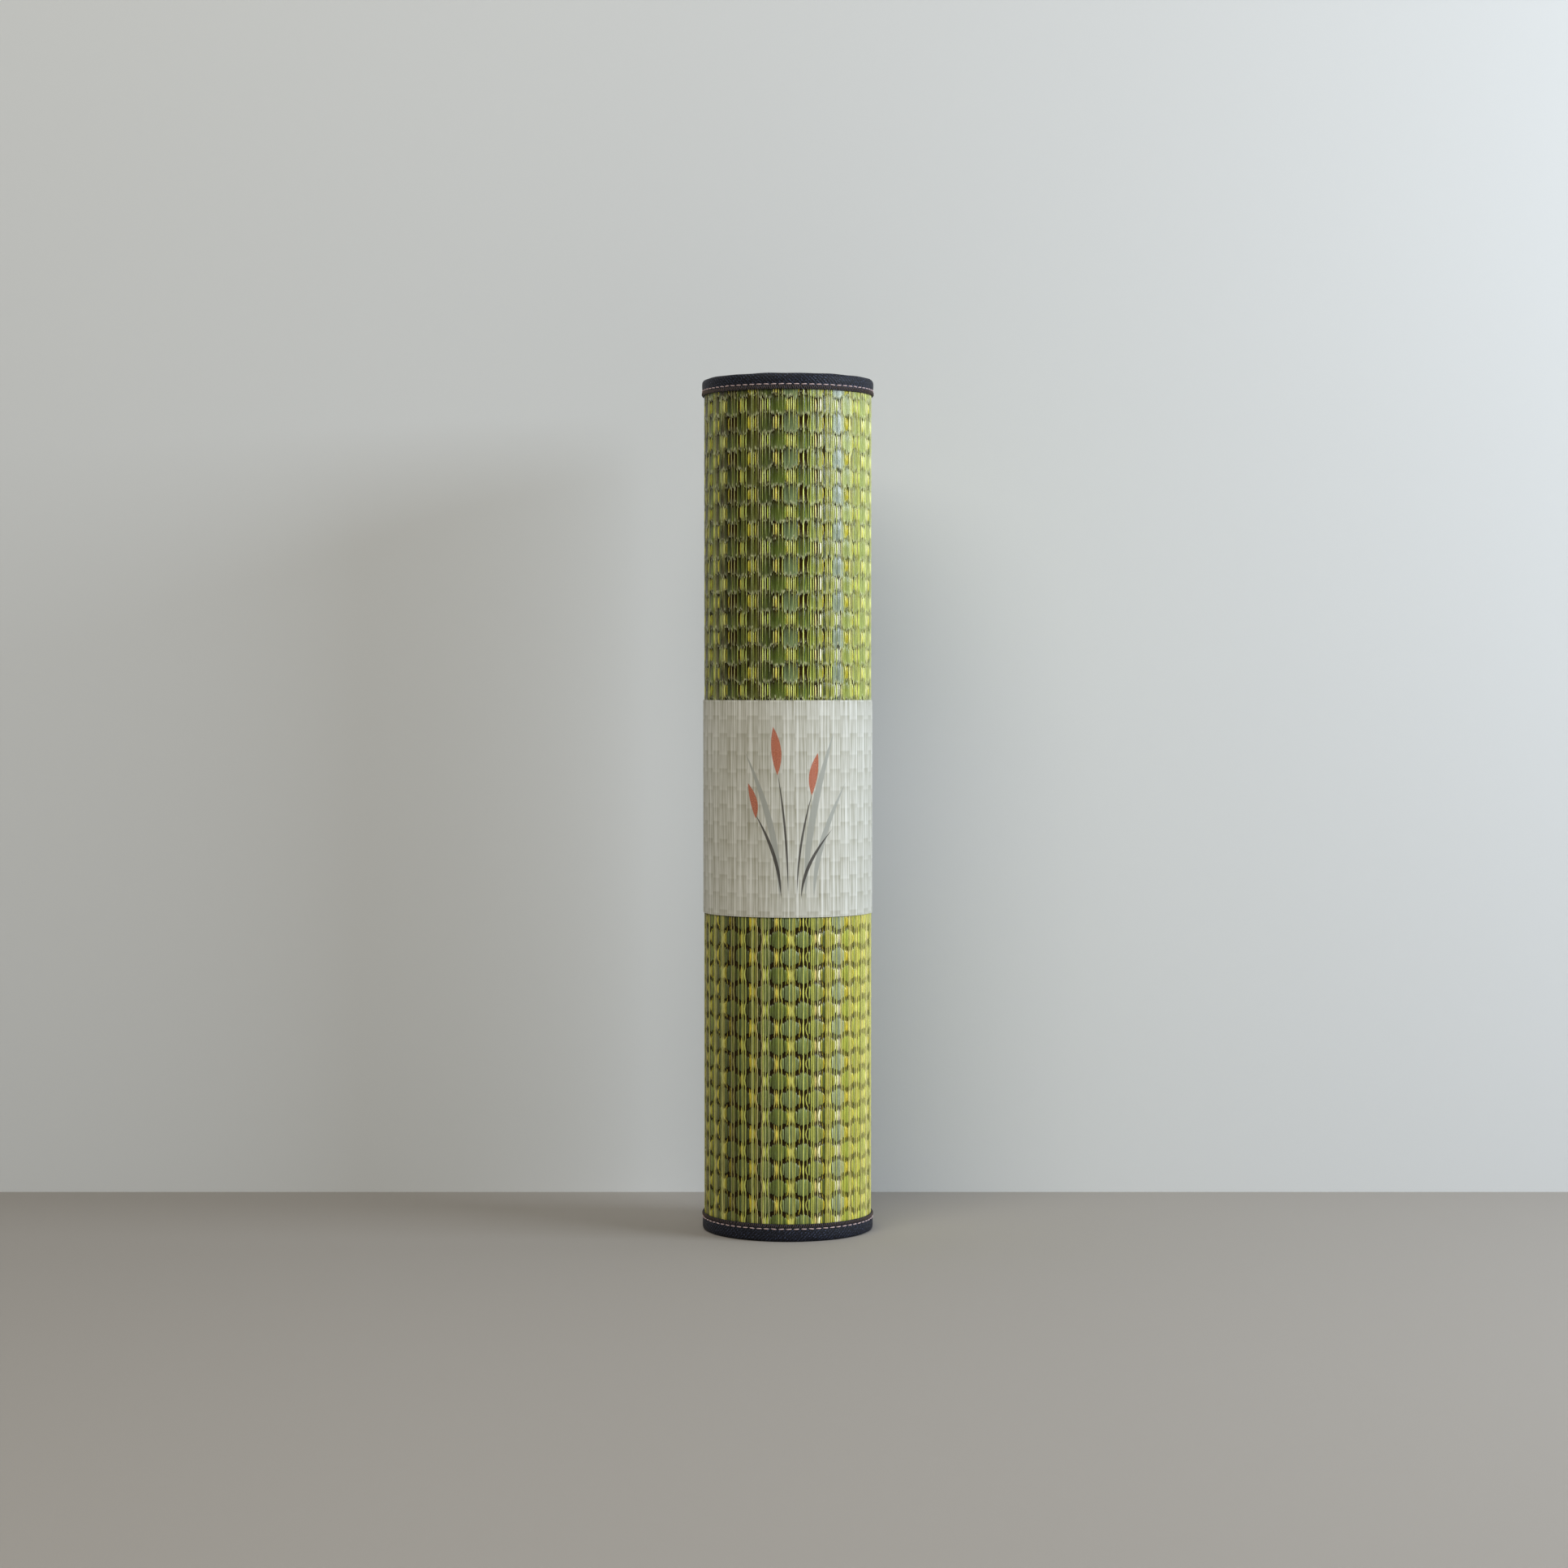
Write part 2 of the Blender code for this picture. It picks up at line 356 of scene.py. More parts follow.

# %% [markdown]
# ## The rush weave
# The face is a chequered weave. In every column the green stems float in front for one cell, dip under
# a yarn, and run on at the back for the next cell, and neighbouring columns swap half a repeat later. A
# few pale stems run through: some as thin lines in front, others seen only where the green ones lie
# back. In the upper half of the roll the floats overlap like shingles, with a pale painted highlight on
# the tip at the lower end. In the lower half they are bundles with dark gaps between, from real depth
# and from painted shade. Where a stem dips and lies back its colour gets painted shade, dark and brown.
# One stretch of the mat, right of the front towards the window, is painted lighter and yellower as
# painted window light, and the stretch left of the front is painted darker as painted shade. Every
# stem is a thread of its own, so the weave is real geometry. A float is described by a few points,
# which are mixed for the two halves.

# %% Weave sizes and colours
COLUMN = 8.55 * MM
REPEAT = 24.57 * MM
FIRST_CELL = 13 * MM
FRONT_LEAD = 0.141
FRONT_COLUMN = float(length_at(math.pi - FRONT_LEAD))
STEM_LOW = LAYER_INSET
STEM_HIGH = MAT_WIDTH - LAYER_INSET
CELLS = range(-1, 26)
CHANGE_LOW = 260 * MM
CHANGE_HEIGHT = 80 * MM
UPPER_REACH = 6.9 * MM
LOWER_REACH = 8.0 * MM
UPPER_UNEVEN = 1.1 * MM
LOWER_UNEVEN = 0.35 * MM
BUNDLE_ROUNDING = 3.8 * MM
UPPER_SWELL = 0.03
LOWER_SWELL = 0.38
STEM_SWAY = 0.05 * MM
UPPER_LENS = 4.9 * MM
LOWER_LENS = 4.2 * MM
LENS_UNEVEN = 0.4 * MM
LENS_SHIFT = 0.3 * MM
LENS_LEAN = 0.15 * MM
UPPER_SLIMNESS = 0.8
# The gleam of a pale stem's swelling is a painted highlight, stronger in the upper half
UPPER_GLEAM = 0.45
LOWER_GLEAM = 0.1
UPPER_LINE_DEPTH = 0.5 * MM
LOWER_LINE_DEPTH = 0.3 * MM
LENS_DEPTH = 0.5 * MM
HIDDEN_DEPTH = 1.3 * MM
UPPER_LINE_HALF = 0.25 * MM
LOWER_LINE_HALF = 0.32 * MM

# Points of a float, from its lower end: share of the length, depth in mm, width, painted shade,
# painted highlight on the tip, painted brown shade of the dip
UPPER_FRONT = np.array([
    (0.00, 0.40, 0.50, 1.3, 1.0, 0.0),
    (0.08, 0.38, 0.85, 1.3, 0.7, 0.0),
    (0.18, 0.42, 1.00, 1.35, 0.08, 0.0),
    (0.50, 0.45, 1.00, 1.1, 0.0, 0.0),
    (0.84, 0.48, 1.00, 0.7, 0.0, 0.2),
    (1.00, 0.90, 0.85, 0.3, 0.0, 0.6),
])
LOWER_FRONT = np.array([
    (0.00, 1.20, 0.50, 0.25, 0.0, 0.95),
    (0.10, 0.90, 0.70, 0.25, 0.0, 0.95),
    (0.16, 0.45, 1.00, 1.4, 0.0, 0.0),
    (0.84, 0.45, 1.00, 1.4, 0.0, 0.0),
    (0.90, 0.90, 0.70, 0.25, 0.0, 0.95),
    (1.00, 1.20, 0.50, 0.25, 0.0, 0.95),
])
UPPER_BACK = np.array([
    (0.05, 0.75, 0.45, 1.0, 0.9, 0.2),
    (0.14, 0.74, 0.85, 0.7, 0.2, 0.7),
    (0.40, 0.95, 0.90, 0.5, 0.0, 0.95),
    (0.95, 1.15, 0.85, 0.25, 0.0, 0.95),
])
LOWER_BACK = np.array([
    (0.15, 1.25, 0.60, 0.25, 0.0, 0.95),
    (0.38, 1.00, 0.90, 0.7, 0.0, 0.6),
    (0.62, 1.00, 0.90, 0.7, 0.0, 0.6),
    (0.85, 1.25, 0.60, 0.25, 0.0, 0.95),
])
PALE_SHARES = np.array([0.0, 0.2, 0.5, 0.8, 1.0])
PALE_SWELL = np.array([0.0, 0.8, 1.0, 0.8, 0.0])
GREEN_TINTS = ["414915", "394214", "454f18", "4b571c", "37491e", "33471e", "4d4e18", "333913"]
# Darker brown tints for the side away from the window: painted shade
SHADED_SIDE_TINTS = ["453a17", "3c3315", "4e441c", "48401b"]
# Lighter, yellower tints for the side towards the window: painted window light
LIT_SIDE_TINTS = ["858e38", "929a3e", "98993f", "8a9444", "7e8c3c", "9ea046"]
BRIGHT_TINTS = ["868c2c", "8c8a30", "788432"]
GREY_GREEN = "667450"
GREYED = 0.75
# Darkening of the stretch left of the front: painted shade
SHADED_SIDE_DARKENING = 0.28
SHADED_SIDE_STRETCH = (-22, -18, -3, 0)
# The stretch right of the front with painted window light: its depth, calmer swell, even shade and
# shades
LIT_SIDE_STRETCH = (2, 5, 14, 18)
LIT_SIDE_DEPTH = 0.5
LIT_SIDE_CALM = 0.5
LIT_SIDE_EVENNESS = 0.6
LIT_SIDE_LOW_SHADE = 1.55
LIT_SIDE_HIGH_SHADE = 1.25
STEM_SHADES = (0.7, 1.3)
# Strength of the pale tips, a painted highlight
TIP_HIGHLIGHT_MOST = 0.9
LINE_TINTS = ["ccd07c", "c4cc70", "d0cc84", "cac28a", "d0d49a", "c4c45c", "c6ca68"]
LENS_TINTS = [
    "cabe40", "c4b638", "b8c44a", "c0b846", "c4ba52", "c8b87a", "b0c04e", "bcbc6c", "cab856",
]
WHITE_TINT = "e6e4cc"
# Colour of the painted highlight on the tips
TIP_HIGHLIGHT_TINT = np.array(linear("eef0be"))
# Colour of the painted shade where stems dip and lie back
DIP_SHADE_TINT = np.array(linear("523a0a"))
TOP_TINGE = np.array([0.98, 1.0, 0.95, 1.0])
FOOT_TINGE = np.array([1.15, 1.08, 0.9, 1.0])
random = np.random.default_rng(12)


def upper(height):
    """0 in the lower half of the roll, 1 in the upper half, with a soft change behind the band."""
    share = np.clip((np.asarray(height) - CHANGE_LOW) / CHANGE_HEIGHT, 0, 1)
    return share * share * (3 - 2 * share)


def mixed(low, high, share):
    return low + (high - low) * share


def spread(column, height):
    """Width of a column as a share of its mean: its bundles swell in front and draw in at the back."""
    turn = 2 * math.pi * ((height - FIRST_CELL) / REPEAT - 0.5 * (column % 2))
    lower_swell = LOWER_SWELL * (1 - LIT_SIDE_CALM * lit_side_share(column))
    return 1 + mixed(lower_swell, UPPER_SWELL, upper(height)) * np.cos(turn)


def lit_side_share(column):
    """How much of a column is painted lighter and yellower as window light: none in most of the mat,
    all in one stretch right of the front.
    """
    return float(np.interp(column, LIT_SIDE_STRETCH, (0, 1, 1, 0)))


def shaded_side_keep(column):
    """Share of its colour that a column keeps: less on the stretch left of the front, where shade is
    painted.
    """
    return float(1 - SHADED_SIDE_DARKENING * np.interp(column, SHADED_SIDE_STRETCH, (0, 1, 1, 0)))


def green_stem(column, across, half_width, tint, greyed):
    """Points, half-widths and colours of a stem that floats in the long cells of its column."""
    rows = []
    evenness = LIT_SIDE_EVENNESS * lit_side_share(column)
    lower_reach = LOWER_REACH - BUNDLE_ROUNDING * (2 * across / COLUMN) ** 2
    spots = FIRST_CELL + (np.array(CELLS) + 0.5 * (column % 2)) * REPEAT
    highs = upper(spots)
    reaches = mixed(lower_reach, UPPER_REACH, highs)
    uneven = mixed(LOWER_UNEVEN, UPPER_UNEVEN, highs)
    low_ends = spots - reaches + random.normal(0, 1, len(spots)) * uneven
    high_ends = spots + reaches + random.normal(0, 1, len(spots)) * uneven
    for high, low_end, high_end, next_low in zip(highs, low_ends, high_ends, low_ends[1:]):
        front = mixed(LOWER_FRONT, UPPER_FRONT, high)
        back = mixed(LOWER_BACK, UPPER_BACK, high)
        front[:, 0] = mixed(low_end, high_end, front[:, 0])
        back[:, 0] = mixed(high_end, next_low, back[:, 0])
        rows += [front, back]
    height, depth, width, shade, tip_highlight, dip_shade = np.concatenate(rows).T
    tip_highlight = tip_highlight * random.uniform(0, TIP_HIGHLIGHT_MOST, len(tip_highlight))
    # Towards the window the painted shade evens out and the painted dip shade goes; left of the front
    # all is painted darker
    shade = mixed(shade, mixed(LIT_SIDE_LOW_SHADE, LIT_SIDE_HIGH_SHADE, upper(height)), evenness)
    shade = shade * shaded_side_keep(column)
    depth = mixed(depth, LIT_SIDE_DEPTH, LIT_SIDE_CALM * lit_side_share(column) * (1 - upper(height)))
    dip_shade = mixed(dip_shade, 0, evenness)
    swell = spread(column, height)
    sway = random.normal(0, STEM_SWAY, len(height))
    length = FRONT_COLUMN + column * COLUMN + across * swell + sway
    wide = half_width * width * swell
    return finish_stem(length, depth * MM, height, wide, tint, shade, tip_highlight, dip_shade, greyed)


def pale_stem(column, across, half_width, tint, hidden):
    """The same for a stem that swells in the short cells, and is a thin line or hidden between them."""
    rows = []
    lean = random.normal(0, LENS_LEAN)
    for cell in CELLS:
        centre = FIRST_CELL + (cell + 0.5 * (column % 2) + 0.5) * REPEAT
        high = upper(centre)
        line_depth = mixed(LOWER_LINE_DEPTH, UPPER_LINE_DEPTH, high)
        rest_depth = HIDDEN_DEPTH if hidden else line_depth
        line_half = mixed(LOWER_LINE_HALF, UPPER_LINE_HALF, high)
        reach = mixed(LOWER_LENS, UPPER_LENS, high) + random.normal(0, LENS_UNEVEN)
        height = centre + (2 * PALE_SHARES - 1) * reach + random.normal(0, LENS_SHIFT)
        depth = mixed(rest_depth, LENS_DEPTH, PALE_SWELL)
        slim = mixed(1, UPPER_SLIMNESS, high)
        width = mixed(line_half, slim * half_width, PALE_SWELL)
        # Painted highlight on the swelling
        gleam = mixed(LOWER_GLEAM, UPPER_GLEAM, high)
        shade = shaded_side_keep(column) * (1 + gleam * PALE_SWELL)
        rows.append(np.column_stack([height, depth, lean * PALE_SWELL, width, shade]))
    height, depth, sway, width, shade = np.concatenate(rows).T
    length = FRONT_COLUMN + column * COLUMN + across * spread(column, height) + sway
    return finish_stem(length, depth, height, width, tint, shade, 0 * shade, 0 * shade)


def finish_stem(length, depth, height, width, tint, shade, tip_highlight, dip_shade, greyed=0):
    """Keeps the points between the bound edges, and works out their colours."""
    order = np.argsort(height)
    order = order[(height[order] > STEM_LOW) & (height[order] < STEM_HIGH)]
    own = np.array(linear(tint))
    low_own = mixed(own, np.array(linear(GREY_GREEN)), greyed) * FOOT_TINGE
    own = random.uniform(*STEM_SHADES) * mixed(low_own, own * TOP_TINGE, upper(height)[:, None])
    # Painted brown shade of the dips and painted shade, then the painted highlight on the tips
    colour = mixed(own, DIP_SHADE_TINT, dip_shade[:, None]) * shade[:, None]
    colour = mixed(colour, TIP_HIGHLIGHT_TINT, tip_highlight[:, None])
    return place(length[order], depth[order], height[order]), width[order], colour[order]


# %% [markdown]
# Stems are grouped in sectors of a few columns, so that no piece grows too heavy. The map called
# OFBake lays each stem out as an upright bar.

# %% Grow the stems
UNDER_THE_END = 0.2
COLUMNS_BEFORE = int((FRONT_COLUMN - BINDING_WIDTH) / COLUMN) + 1
COLUMNS_AFTER = int((length_at(2 * math.pi + UNDER_THE_END) - FRONT_COLUMN) / COLUMN)
COLUMNS_PER_PIECE = 7
# Column 5's grey tint and its white stems are a painted sheen of the window; the other grey columns are
# the rush's own colour
GREY_COLUMNS = {1: GREY_GREEN, 5: "7c8672", -14: GREY_GREEN, 21: GREY_GREEN}
SHEEN_COLUMN = 5
# Columns left of the front that often take the darker brown tints of painted shade
SHADED_SIDE_COLUMNS = range(-18, -4)
SHADED_SIDE_CHANCE = 0.6
BRIGHT_FROM = 0.9
ALIKE_CHANCE = 0.55
WHITE_CHANCE = 0.06
GREY_SHARES = (0.2, 1)
COLUMN_UNEVEN = (-0.02, 0.06)
STEM_COUNTS = (8, 10)
STEM_FILL = (0.9, 1.12)
LINE_COUNTS = (2, 5)
# More pale lines on the stretch with painted window light
LIT_SIDE_LINES = 2
LENS_COUNTS = (1, 4)
PALE_SHIFT = 0.25
LENS_HALF = (0.35, 0.7)
LINE_SWELL = (0.38, 0.55)
GREEN_FLATNESS = 0.18
PALE_FLATNESS = 0.7
BAR_MARGIN = 0.1
columns = list(range(-COLUMNS_BEFORE, COLUMNS_AFTER + 1))


def green_tint(column):
    """A colour for one more green stem of a column."""
    chance = random.random()
    if chance < lit_side_share(column):
        return random.choice(LIT_SIDE_TINTS)
    if chance > BRIGHT_FROM:
        return random.choice(BRIGHT_TINTS)
    # Brown tints left of the front are painted shade
    shaded_side = column in SHADED_SIDE_COLUMNS and chance < SHADED_SIDE_CHANCE
    return random.choice(SHADED_SIDE_TINTS if shaded_side else GREEN_TINTS)


def green_column(column):
    """The green stems of one column, most of them alike."""
    wide = COLUMN * (1 + random.uniform(*COLUMN_UNEVEN))
    count = int(random.integers(*STEM_COUNTS))
    shared = GREY_COLUMNS[column] if column in GREY_COLUMNS else green_tint(column)
    greyed = GREYED * (1 - lit_side_share(column)) * random.uniform(*GREY_SHARES)
    stems = []
    for member in range(count):
        across = ((member + 0.5) / count - 0.5) * wide
        half_width = 0.5 * wide / count * random.uniform(*STEM_FILL)
        own = green_tint(column)
        alike = column in GREY_COLUMNS or random.random() < ALIKE_CHANCE
        stems.append(green_stem(column, across, half_width, shared if alike else own, greyed))
    return stems


def pale_column(column):
    """The pale stems of one column: some thin lines, and some seen in the short cells alone."""
    lines = int(random.integers(*LINE_COUNTS) + LIT_SIDE_LINES * lit_side_share(column))
    count = lines + int(random.integers(*LENS_COUNTS))
    order = random.permutation(count)
    stems = []
    for member in range(count):
        shift = random.uniform(-PALE_SHIFT, PALE_SHIFT)
        across = ((order[member] + 0.5 + shift) / count - 0.5) * COLUMN
        hidden = member >= lines
        half_width = random.uniform(*(LENS_HALF if hidden else LINE_SWELL)) * MM
        tint = random.choice(LENS_TINTS if hidden else LINE_TINTS)
        # All lenses of column 5 are white: a painted sheen of the window
        if hidden and (column == SHEEN_COLUMN or random.random() < WHITE_CHANCE):
            tint = WHITE_TINT
        stems.append(pale_stem(column, across, half_width, tint, hidden))
    return stems


def rush_piece(name, stems, look, flatness, *replaced):
    """One piece of many stems, with each stem's colours and its bar in the map for baking."""
    paths, widths, colours = zip(*stems)
    mesh = threads(name, paths, widths, look, flatness)
    tint = mesh.attributes.new("stem_colour", "FLOAT_COLOR", "POINT")
    shown = np.concatenate(colours).repeat(SIDES, axis=0)
    shown[:, 3] = 1
    tint.data.foreach_set("color", shown.astype(np.float32).ravel())
    stem_of = np.repeat(np.arange(len(paths)), [SIDES * len(path) for path in paths])
    folded = np.abs(np.arange(len(stem_of)) % SIDES / (SIDES / 2) - 1)
    heights = np.concatenate([path[:, 2] for path in paths]).repeat(SIDES)
    across = stem_of + BAR_MARGIN + (1 - 2 * BAR_MARGIN) * folded
    bars = np.column_stack([across / len(paths), heights / MAT_WIDTH])
    corner_points = np.zeros(len(mesh.loops), np.int32)
    mesh.loops.foreach_get("vertex_index", corner_points)
    bake_map = mesh.uv_layers["UVMap"]
    bake_map.name = "OFBake"
    bake_map.data.foreach_set("uv", bars[corner_points].astype(np.float32).ravel())
    return keep(mesh, "mat_roll", "woven_rush", *replaced)


weave_pieces = []
for first in range(0, len(columns), COLUMNS_PER_PIECE):
    sector = columns[first:first + COLUMNS_PER_PIECE]
    number = first // COLUMNS_PER_PIECE + 1
    greens = [stem for column in sector for stem in green_column(column)]
    pales = [stem for column in sector for stem in pale_column(column)]
    replaced = ["rush_face"] if number == 1 else []
    green_piece = rush_piece(f"green_rush_{number}", greens, green_look, GREEN_FLATNESS, *replaced)
    pale_piece = rush_piece(f"pale_rush_{number}", pales, pale_look, PALE_FLATNESS)
    weave_pieces += [green_piece, pale_piece]
print(len(columns), "columns in", len(weave_pieces), "pieces")

# %% [markdown]
# ## The layers below
# Under the stems lies the ground of the weave, then the foam core and the grip backing. They are wound
# with the roll as continuous sheets. Only the backing shows, in the roll's eye.

# %% Wound layers
STATIONS_PER_TURN = 120
GROUND_DEPTH = 1.5 * MM


def wound(name, section, start, stop, look, sharp=40, wave=None):
    """A profile of (depth, height) corners drawn along the winding."""
    turned = angle_at(np.array([start, stop]))
    count = int((turned[1] - turned[0]) / (2 * math.pi) * STATIONS_PER_TURN) + 2
    lengths = length_at(np.linspace(*turned, count))
    profile = np.asarray(section, float)
    rings = []
    for length in lengths:
        height = profile[:, 1] if wave is None else wave(length, profile[:, 1])
        rings.append(place(length, profile[:, 0], height))
    return strip(name, rings, lengths, perimeter(section), look, sharp)


def sheet_section(outer, inner, low, high):
    return [(outer, low), (outer, high), (inner, high), (inner, low)]


layer_stop = MAT_LENGTH - LAYER_INSET
ground_section = sheet_section(GROUND_DEPTH, RUSH_THICKNESS, STEM_LOW, STEM_HIGH)
ground_mesh = wound("rush_ground", ground_section, LAYER_INSET, layer_stop, ground_look)
keep(ground_mesh, "mat_roll", "woven_rush")

# %% [markdown]
# ### Foam and backing
# The core is a thin closed-cell foam, pale and matt, with fine pores. The backing is a felt with
# small rubber dots that grip the floor.

# %% Foam and backing materials
FOAM_PORE = 0.5 * MM
DOT_SPACING = 4 * MM
FELT_FIBRE = 0.8 * MM
foam_look, foam_shader = start_look("closed_cell_foam", 0.9)
foam_place = add(foam_look, "ShaderNodeTexCoord")
pores = add(
    foam_look,
    "ShaderNodeTexVoronoi",
    {"Vector": foam_place.outputs["Object"], "Scale": 1 / FOAM_PORE},
)
foam_mix = add(
    foam_look,
    "ShaderNodeMix",
    {"Factor": pores.outputs["Distance"], 6: linear("b9b29c"), 7: linear("e2dac4")},
    data_type="RGBA",
)
join(foam_look, foam_mix.outputs[2], foam_shader, "Base Color")
foam_bump = add(
    foam_look,
    "ShaderNodeBump",
    {"Height": pores.outputs["Distance"], "Strength": 0.4, "Distance": 0.2 * MM},
)
join(foam_look, foam_bump.outputs["Normal"], foam_shader, "Normal")

grip_look, grip_shader = start_look("dotted_grip_felt", 0.85)
grip_flat = cloth_place(grip_look)[2]
dots = add(
    grip_look,
    "ShaderNodeTexVoronoi",
    {"Vector": grip_flat, "Scale": 1 / DOT_SPACING, "Randomness": 0},
    voronoi_dimensions="2D",
)
dot_mask = add(
    grip_look,
    "ShaderNodeMapRange",
    {"Value": dots.outputs["Distance"], "From Min": 0.22, "From Max": 0.3, "To Min": 1, "To Max": 0},
)
felt = add(grip_look, "ShaderNodeTexNoise", {"Vector": grip_flat, "Scale": 1 / FELT_FIBRE, "Detail": 4})
felt_colour = add(
    grip_look,
    "ShaderNodeMix",
    {"Factor": felt.outputs["Fac"], 6: linear("44463f"), 7: linear("6c6e66")},
    data_type="RGBA",
)
grip_colour = add(
    grip_look,
    "ShaderNodeMix",
    {"Factor": dot_mask.outputs["Result"], 6: felt_colour.outputs[2], 7: linear("34352f")},
    data_type="RGBA",
)
join(grip_look, grip_colour.outputs[2], grip_shader, "Base Color")
grip_height = add(
    grip_look,
    "ShaderNodeMath",
    {0: felt.outputs["Fac"], 1: 0.25, 2: dot_mask.outputs["Result"]},
    operation="MULTIPLY_ADD",
)
grip_bump = add(
    grip_look,
    "ShaderNodeBump",
    {"Height": grip_height.outputs["Value"], "Strength": 0.6, "Distance": 0.4 * MM},
)
join(grip_look, grip_bump.outputs["Normal"], grip_shader, "Normal")
print("foam and felt materials ready")

# %% Wind the foam and the backing
PINCH_END = BINDING_WIDTH + PINCH_LENGTH
CORE_INSET = BINDING_WIDTH + 1.2 * MM
CORE_SKIVE = 5.5 * MM
core_inner = PINCHED_DEPTH + CORE_THICKNESS
core_section = [
    (PINCHED_DEPTH, CORE_INSET),
    (PINCHED_DEPTH, MAT_WIDTH - CORE_INSET),
    (core_inner, MAT_WIDTH - CORE_INSET - CORE_SKIVE),
    (core_inner, CORE_INSET + CORE_SKIVE),
]
core_mesh = wound("foam_core", core_section, PINCH_END, MAT_LENGTH - PINCH_END, foam_look)
core_piece = keep(core_mesh, "mat_roll", "cushion_foam", "cushion_core")

pinched = [(PINCHED_DEPTH, LAYER_INSET), (PINCHED_DEPTH, BINDING_WIDTH), (FLAT_DEPTH, PINCH_END)]
facing_core = pinched + [(depth, MAT_WIDTH - inset) for depth, inset in reversed(pinched)]
facing_in = [(depth + BACKING_THICKNESS, height) for depth, height in reversed(facing_core)]
backing_mesh = wound("grip_felt", facing_core + facing_in, LAYER_INSET, layer_stop, grip_look)
backing_piece = keep(backing_mesh, "mat_roll", "grip_backing", "grip_backing")

# %% [markdown]
# ### Denim
# The edges are bound with dark navy denim, a twill: blue-black warp with a few pale weft specks on
# slanting ribs. The tape is folded over the mat's edge in a soft half round and sewn through with a
# pale thread, which pulls it in a little. Its raw edge is overlocked with dark thread.

# %% Denim and thread materials
TWILL_RIB = 1.3 * MM
SPECK = 0.7 * MM
PLY = 0.6 * MM

# Half a wave of the wave texture at scale 1
HALF_WAVE = 0.314

denim_look, denim_shader = start_look("navy_denim_twill", 0.6, Specular_IOR_Level=0.25)
denim_flat = cloth_place(denim_look)[2]
twill = add(
    denim_look,
    "ShaderNodeTexWave",
    {"Vector": denim_flat, "Scale": HALF_WAVE / TWILL_RIB, "Distortion": 1.2, "Detail": 2},
    bands_direction="DIAGONAL",
)
specks = add(denim_look, "ShaderNodeTexNoise", {"Vector": denim_flat, "Scale": 1 / SPECK, "Detail": 2})
speck_mask = add(
    denim_look,
    "ShaderNodeMapRange",
    {"Value": specks.outputs["Fac"], "From Min": 0.5, "From Max": 0.75},
)
weft = add(
    denim_look,
    "ShaderNodeMath",
    {0: twill.outputs["Fac"], 1: speck_mask.outputs["Result"]},
    operation="MULTIPLY",
)
denim_colour = add(
    denim_look,
    "ShaderNodeMix",
    {"Factor": weft.outputs["Value"], 6: linear("0d0d14"), 7: linear("626d90")},
    data_type="RGBA",
)
join(denim_look, denim_colour.outputs[2], denim_shader, "Base Color")
denim_bump = add(
    denim_look,
    "ShaderNodeBump",
    {"Height": twill.outputs["Fac"], "Strength": 0.5, "Distance": 0.25 * MM},
)
join(denim_look, denim_bump.outputs["Normal"], denim_shader, "Normal")


def thread_look(name, dark, light):
    """Spun thread: a matt twist of fibres, whose plies show as fine bands."""
    look, shader = start_look(name, 0.75)
    spot = add(look, "ShaderNodeTexCoord")
    plies = add(
        look,
        "ShaderNodeTexNoise",
        {"Vector": spot.outputs["Object"], "Scale": 1 / PLY, "Detail": 2},
    )
    colour = add(
        look,
        "ShaderNodeMix",
        {"Factor": plies.outputs["Fac"], 6: linear(dark), 7: linear(light)},
        data_type="RGBA",
    )
    join(look, colour.outputs[2], shader, "Base Color")
    bump = add(look, "ShaderNodeBump", {"Height": plies.outputs["Fac"], "Distance": 0.1 * MM})
    join(look, bump.outputs["Normal"], shader, "Normal")
    return look


stitch_look = thread_look("pale_sewing_thread", "b89a9a", "e2caca")
overlock_look = thread_look("dark_overlock_thread", "1e1816", "6c5a52")
print("denim and thread materials ready")

# %% [markdown]
# The tape's profile runs up its outer leg, over the fold and down the inner leg, then back inside.
# Depth is measured below the rush face and inset from the mat's edge. The seam presses a groove into
# the outer leg, and the lip stands beside it. The lower edge was folded a little wider than the upper.

# %% Folded tape
FOLD_STEPS = 8
FOLD_SHARP = 50
TOP_SEAM = 7.8 * MM
BOTTOM_SEAM = 9.0 * MM
END_SEAM = 8.2 * MM
FOLD_MIDDLE = 1.35 * MM
RIPPLE_HEIGHT = 0.1 * MM
SHORT_RIPPLE = 23 * MM
LONG_RIPPLE = 41 * MM
BOTTOM_SHIFT = 10 * MM
STANDING_HEIGHT = 0.1 * MM

# Corners in mm: depth and distance past the seam for the lip, depth and inset for the rest
LIP_LEG = [(-0.95, 3.4), (-1.05, 2.6), (-1.0, 1.2), (-0.72, 0), (-1.02, -1.3)]
LIP_TIP = (-0.25, 3.4)
OUTER_LEG = [(-1.15, 4.6)]
INNER_LEG = [(3.8, 4.6), (3.65, 7.8), (3.8, 12.0)]
INNER_TIP = [(3.0, 12.0)]

# Half ellipses over the fold in mm: reach to each side, height of the crown, inset of the feet
OUTER_FOLD = (2.48, 2.6, 2.6)
INNER_FOLD = (1.6, 1.3, 3.0)


def half_round(reach, crown, foot):
    """Points over the fold, as (depth, inset), for half an ellipse from one leg to the other."""
    turns_round = np.linspace(math.pi, 0, FOLD_STEPS + 1)
    return [(FOLD_MIDDLE + reach * math.cos(a), foot - crown * math.sin(a)) for a in turns_round]


def in_metres(corners):
    return [(depth * MM, inset * MM) for depth, inset in corners]


